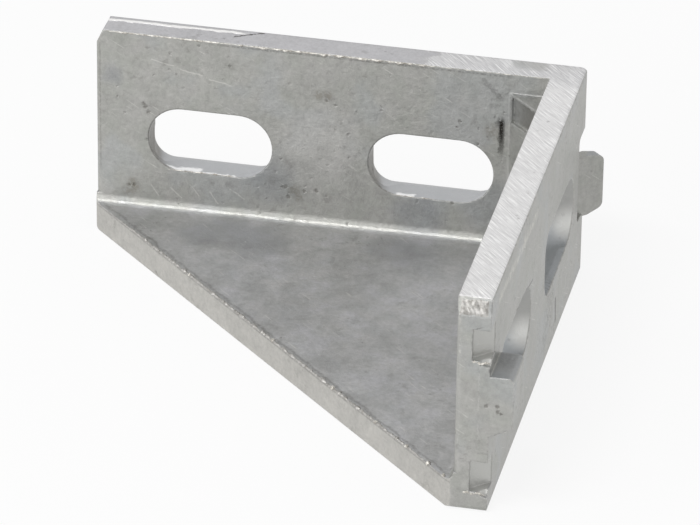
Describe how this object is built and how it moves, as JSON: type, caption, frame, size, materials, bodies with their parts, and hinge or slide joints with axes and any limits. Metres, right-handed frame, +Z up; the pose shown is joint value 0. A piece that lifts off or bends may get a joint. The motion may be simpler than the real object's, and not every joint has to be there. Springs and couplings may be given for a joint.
{
  "type": "t-slot corner bracket",
  "caption": "Die-cast right-angle corner bracket for slotted framing: equal slotted flanges, a triangular web, locating lugs and a corner fin.",
  "frame": {"origin": "centre of the bounding box in plan, on the level of the web's flat underside", "axes": "+Z up, away from the web; the back flange's outer face looks along +Y and the side flange's outer face along +X"},
  "size_m": [0.061, 0.061, 0.0263],
  "materials": {
    "cast_aluminium": "as-cast matte, with linished flange tops"
  },
  "bodies": {
    "root": {"corner_bracket": "cast_aluminium"}
  },
  "joints": []
}
